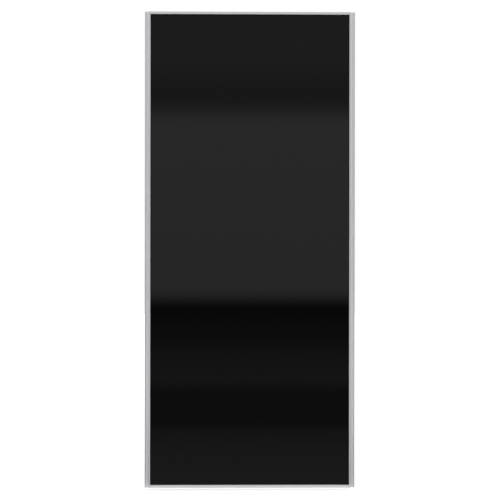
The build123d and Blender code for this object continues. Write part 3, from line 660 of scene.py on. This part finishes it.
makeBalls("leftBalls", "left_balls", "left_bearing_balls", -1.0)
makeBalls("rightBalls", "right_balls", "right_bearing_balls", 1.0)
print("bearing balls made")

# Moulded and pressed pieces keep their shapes and get a small round on every sharp edge, in mm
moulded = {"rounds": {"black_nylon": 0.3, "grey_nylon": 0.3, "white_nylon": 0.2, "plated_steel": 0.15},
           "segments": 2, "flatDeg": 0.5, "sharpDeg": 40.0}
for subpart in frame["record"]["subparts"]:
    if subpart["material_slot"] in moulded["rounds"]:
        node = frame["nodes"][subpart["node"]]
        joined = node.modifiers.new("joined", "WELD")
        joined.merge_threshold = weldGap
        flats = node.modifiers.new("flats", "DECIMATE")
        flats.decimate_type = "DISSOLVE"
        flats.angle_limit = np.radians(moulded["flatDeg"])
        edges = node.modifiers.new("edges", "BEVEL")
        edges.width = moulded["rounds"][subpart["material_slot"]] * mm
        edges.segments = moulded["segments"]
        edges.limit_method = "ANGLE"
        edges.angle_limit = np.radians(moulded["sharpDeg"])
        edges.harden_normals = True
print("edges rounded")

# Studio: white all round, a pale floor at the height the rollers reach, soft lamps, and glowing cards that
# only gloss sees. The cards are painted reflections in the glass and the bars, so that black glass stays
# black and the bars' faces part from each other. Sizes are in metres.
studio = {"floorZ": -0.0122, "floorHalf": 14.0, "floorColour": "#eeeeec", "floorRoughness": 0.9,
          "floorGlow": 0.2, "cameraGlow": 0.3, "surroundColour": "#ffffff", "surroundFill": 0.93}


def stagePlane(name, corners, material):
    # four corners in metres
    mesh = bpy.data.meshes.new(name)
    mesh.from_pydata(corners, [], [(0, 1, 2, 3)])
    mesh.materials.append(material)
    plane = bpy.data.objects.new(name, mesh)
    scene.collection.objects.link(plane)
    return plane


def seenShare(tree):
    # 1 for rays that come from the camera, from gloss or through glass, and 0 for the rest
    path = addNode(tree, "ShaderNodeLightPath").outputs
    share = path["Is Camera Ray"]
    for kind in ("Is Glossy Ray", "Is Transmission Ray"):
        either = addNode(tree, "ShaderNodeMath", {0: share, 1: path[kind]}, operation="MAXIMUM")
        share = either.outputs["Value"]
    return share


def floorMaterial():
    # matt white paper: takes the shadow, glows a little where it is seen so that it joins the white surround,
    # more so straight from the camera, and is clear from below
    material, tree, _ = newMaterial("whiteFloorPaper")
    paper = addNode(tree, "ShaderNodeBsdfPrincipled", values={
        "Base Color": linear(studio["floorColour"]), "Roughness": studio["floorRoughness"]})
    seen = addNode(tree, "ShaderNodeMath", {0: seenShare(tree)}, {1: studio["floorGlow"]},
                   operation="MULTIPLY").outputs["Value"]
    straight = addNode(tree, "ShaderNodeLightPath").outputs["Is Camera Ray"]
    glowStrength = addNode(tree, "ShaderNodeMath", {0: straight, 2: seen}, {1: studio["cameraGlow"]},
                           operation="MULTIPLY_ADD").outputs["Value"]
    glow = addNode(tree, "ShaderNodeEmission", {"Strength": glowStrength})
    lit = addNode(tree, "ShaderNodeAddShader", {0: paper.outputs["BSDF"], 1: glow.outputs["Emission"]})
    clear = addNode(tree, "ShaderNodeBsdfTransparent")
    under = addNode(tree, "ShaderNodeNewGeometry").outputs["Backfacing"]
    mixed = addNode(tree, "ShaderNodeMixShader",
                    {0: under, 1: lit.outputs["Shader"], 2: clear.outputs["BSDF"]})
    addNode(tree, "ShaderNodeOutputMaterial", {"Surface": mixed.outputs["Shader"]})
    return material


floorCorners = rectangle((-studio["floorHalf"],) * 2, (studio["floorHalf"],) * 2)
stagePlane("floor", np.c_[floorCorners, np.full(4, studio["floorZ"])].tolist(), floorMaterial())

# cards: each is a soft-edged glowing strip that only gloss sees, so it neither shows nor shades; what it adds
# is a painted reflection. It starts at a place in metres and runs along its own Y; ramp is its brightness
# along that run, as (distance, brightness). It has a half width at its start and at its end, and fades out
# sideways from there to fade times as far, so that no edge shows.
cards = {
    # the wall card faces the front: its bands are a painted reflection of a room in the glass, dark low down,
    # light from 0.74 m and darker again from 2.62 m
    "wallCard": {"at": (0.07, -5.7, 0.0), "turnDeg": (90.0, 0.0, 0.0), "halfWidths": (1.0, 1.0), "fade": 1.5,
                 "ramp": ((0.0, 0.11), (0.28, 0.05), (0.52, 0.02), (0.74, 0.42), (2.35, 0.46), (2.62, 0.17),
                          (3.1, 0.24), (4.0, 0.24), (5.2, 0.6), (7.0, 1.0))},
    # the floor card lies at the leaf's foot: a painted reflection of a darker floor in the glass, which also
    # darkens the bars' gloss low down
    "floorCard": {"at": (0.0, -0.05, 0.002), "turnDeg": (0.0, 0.0, 180.0), "halfWidths": (0.48, 1.07),
                  "fade": 3.5,
                  "ramp": ((0.0, 0.21), (0.7, 0.18), (1.3, 0.14), (1.9, 0.06), (3.1, 0.06), (4.2, 0.13),
                           (5.65, 0.11))},
    # the back cards: painted grey reflections for the leaf's back and sides
    "backRightCard": {"at": (3.6, 3.6, 0.0), "turnDeg": (90.0, 0.0, -45.0), "halfWidths": (1.6, 1.6),
                      "fade": 1.6, "ramp": ((0.0, 0.45), (4.0, 0.55))},
    "backLeftCard": {"at": (-3.6, 3.6, 0.0), "turnDeg": (90.0, 0.0, 45.0), "halfWidths": (1.6, 1.6),
                     "fade": 1.6, "ramp": ((0.0, 0.6), (4.0, 0.7))},
}


def cardMaterial(name, card):
    # a glow by the ramp along Y, mixed with clear by how many half widths a point lies to the side in X
    material, tree, place = newMaterial(name)
    run = card["ramp"][-1][0]
    split = addNode(tree, "ShaderNodeSeparateXYZ", {"Vector": place}).outputs
    share = addNode(tree, "ShaderNodeMapRange", {"Value": split["Y"]}, {"From Max": run}).outputs["Result"]
    ramp = addNode(tree, "ShaderNodeValToRGB", {"Fac": share})
    ramp.color_ramp.interpolation = "EASE"
    elements = ramp.color_ramp.elements
    while len(elements) < len(card["ramp"]):
        elements.new(1.0)
    for element, (distance, value) in zip(elements, card["ramp"]):
        element.position = distance / run
        element.color = (value, value, value, 1.0)
    glow = addNode(tree, "ShaderNodeEmission", {"Color": ramp.outputs["Color"]})
    edge = addNode(tree, "ShaderNodeMapRange", {"Value": share},
                   {"To Min": card["halfWidths"][0], "To Max": card["halfWidths"][1]}).outputs["Result"]
    aside = addNode(tree, "ShaderNodeMath", {0: split["X"]}, operation="ABSOLUTE").outputs["Value"]
    past = addNode(tree, "ShaderNodeMath", {0: aside, 1: edge}, operation="DIVIDE").outputs["Value"]
    gone = addNode(tree, "ShaderNodeMapRange", {"Value": past}, {"From Min": 1.0, "From Max": card["fade"]},
                   interpolation_type="SMOOTHSTEP").outputs["Result"]
    clear = addNode(tree, "ShaderNodeBsdfTransparent")
    mixed = addNode(tree, "ShaderNodeMixShader",
                    {0: gone, 1: glow.outputs["Emission"], 2: clear.outputs["BSDF"]})
    addNode(tree, "ShaderNodeOutputMaterial", {"Surface": mixed.outputs["Shader"]})
    return material


# each card's material is the glow of its painted reflection
for name, card in cards.items():
    run = card["ramp"][-1][0]
    near, far = (half * card["fade"] for half in card["halfWidths"])
    plane = stagePlane(name, [(-near, 0.0, 0.0), (near, 0.0, 0.0), (far, run, 0.0), (-far, run, 0.0)],
                       cardMaterial(name + "ReflectionGlow", card))
    plane.location = card["at"]
    plane.rotation_euler = np.radians(card["turnDeg"]).tolist()
    plane.visible_camera = plane.visible_diffuse = plane.visible_shadow = plane.visible_transmission = False

# the surround is plain white where it is seen, and a little less as a light
world = bpy.data.worlds.new("whiteSurround")
scene.world = world
world.use_nodes = True
tree = world.node_tree
tree.nodes.clear()
strength = addNode(tree, "ShaderNodeMapRange", {"Value": seenShare(tree)},
                   {"To Min": studio["surroundFill"]}).outputs["Result"]
surround = addNode(tree, "ShaderNodeBackground", {"Strength": strength},
                   {"Color": linear(studio["surroundColour"])})
addNode(tree, "ShaderNodeOutputWorld", {"Surface": surround.outputs["Background"]})

# lamps: places and sizes in metres, power in watts. The low one lights the frame's bars alone, since the
# glass would mirror it.
lamps = {"keyLamp": {"at": (-3.2, -2.6, 3.6), "aim": (0.0, 0.0, 1.0), "size": (2.4, 1.8), "power": 9.0},
         "fillLamp": {"at": (3.4, -2.4, 3.4), "aim": (0.0, 0.0, 1.0), "size": (2.4, 1.8), "power": 8.0},
         "backLamp": {"at": (1.6, 4.0, 3.4), "aim": (0.0, 0.0, 1.0), "size": (2.4, 1.8), "power": 9.0},
         "lowLamp": {"at": (0.0, -1.6, 0.1), "aim": (0.0, 0.0, 0.2), "size": (2.0, 0.4), "power": 6.2,
                     "only": frameBars}}
for name, lamp in lamps.items():
    light = bpy.data.lights.new(name, "AREA")
    light.shape = "RECTANGLE"
    light.size, light.size_y = lamp["size"]
    light.energy = lamp["power"]
    holder = bpy.data.objects.new(name, light)
    holder.location = lamp["at"]
    holder.rotation_euler = (Vector(lamp["aim"]) - Vector(lamp["at"])).to_track_quat("-Z", "Y").to_euler()
    scene.collection.objects.link(holder)
    if "only" in lamp:
        receivers = bpy.data.collections.new(name + "Receivers")
        for piece in lamp["only"]:
            receivers.objects.link(piece)
        holder.light_linking.receiver_collection = receivers

# camera: five metres off, level with the middle of the leaf and a little to its left
view = {"at": (-0.0593, -5.0, 1.1074), "turnDeg": (90.0187, -0.0685, -0.6884), "lens": 76.97, "sensor": 36.0,
        "clipEnd": 100.0}
camera = bpy.data.cameras.new("camera")
camera.lens = view["lens"]
camera.sensor_width = view["sensor"]
camera.clip_end = view["clipEnd"]
cameraHolder = bpy.data.objects.new("camera", camera)
cameraHolder.location = view["at"]
cameraHolder.rotation_euler = np.radians(view["turnDeg"]).tolist()
scene.collection.objects.link(cameraHolder)
scene.camera = cameraHolder
print("studio and camera set")
